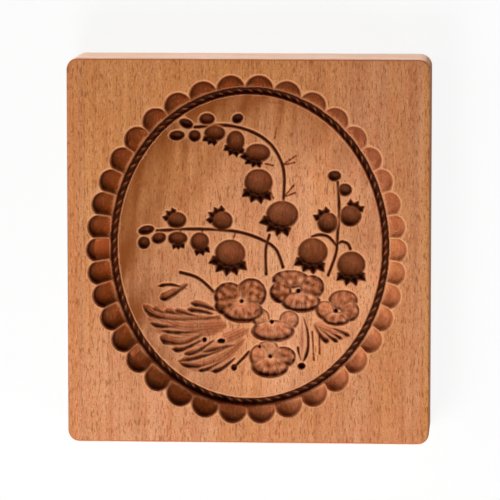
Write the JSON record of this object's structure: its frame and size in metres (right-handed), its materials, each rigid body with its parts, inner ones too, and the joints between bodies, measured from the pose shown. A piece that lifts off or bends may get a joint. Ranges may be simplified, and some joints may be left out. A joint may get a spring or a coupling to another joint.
{
  "type": "carved gingerbread mould",
  "caption": "Small wooden board with a sunk oval floral picture inside a rope line and a scalloped border, for printing cookie and gingerbread dough.",
  "frame": {"origin": "middle of the back face, which lies on z = 0", "axes": "+Z out of the carved face, +Y towards the top of the picture and along the grain, +X to the picture's right"},
  "size_m": [0.09, 0.096, 0.02],
  "materials": {
    "beech": "lightly oiled beech, satin"
  },
  "bodies": {
    "root": {"mould_block": "beech"}
  },
  "joints": []
}
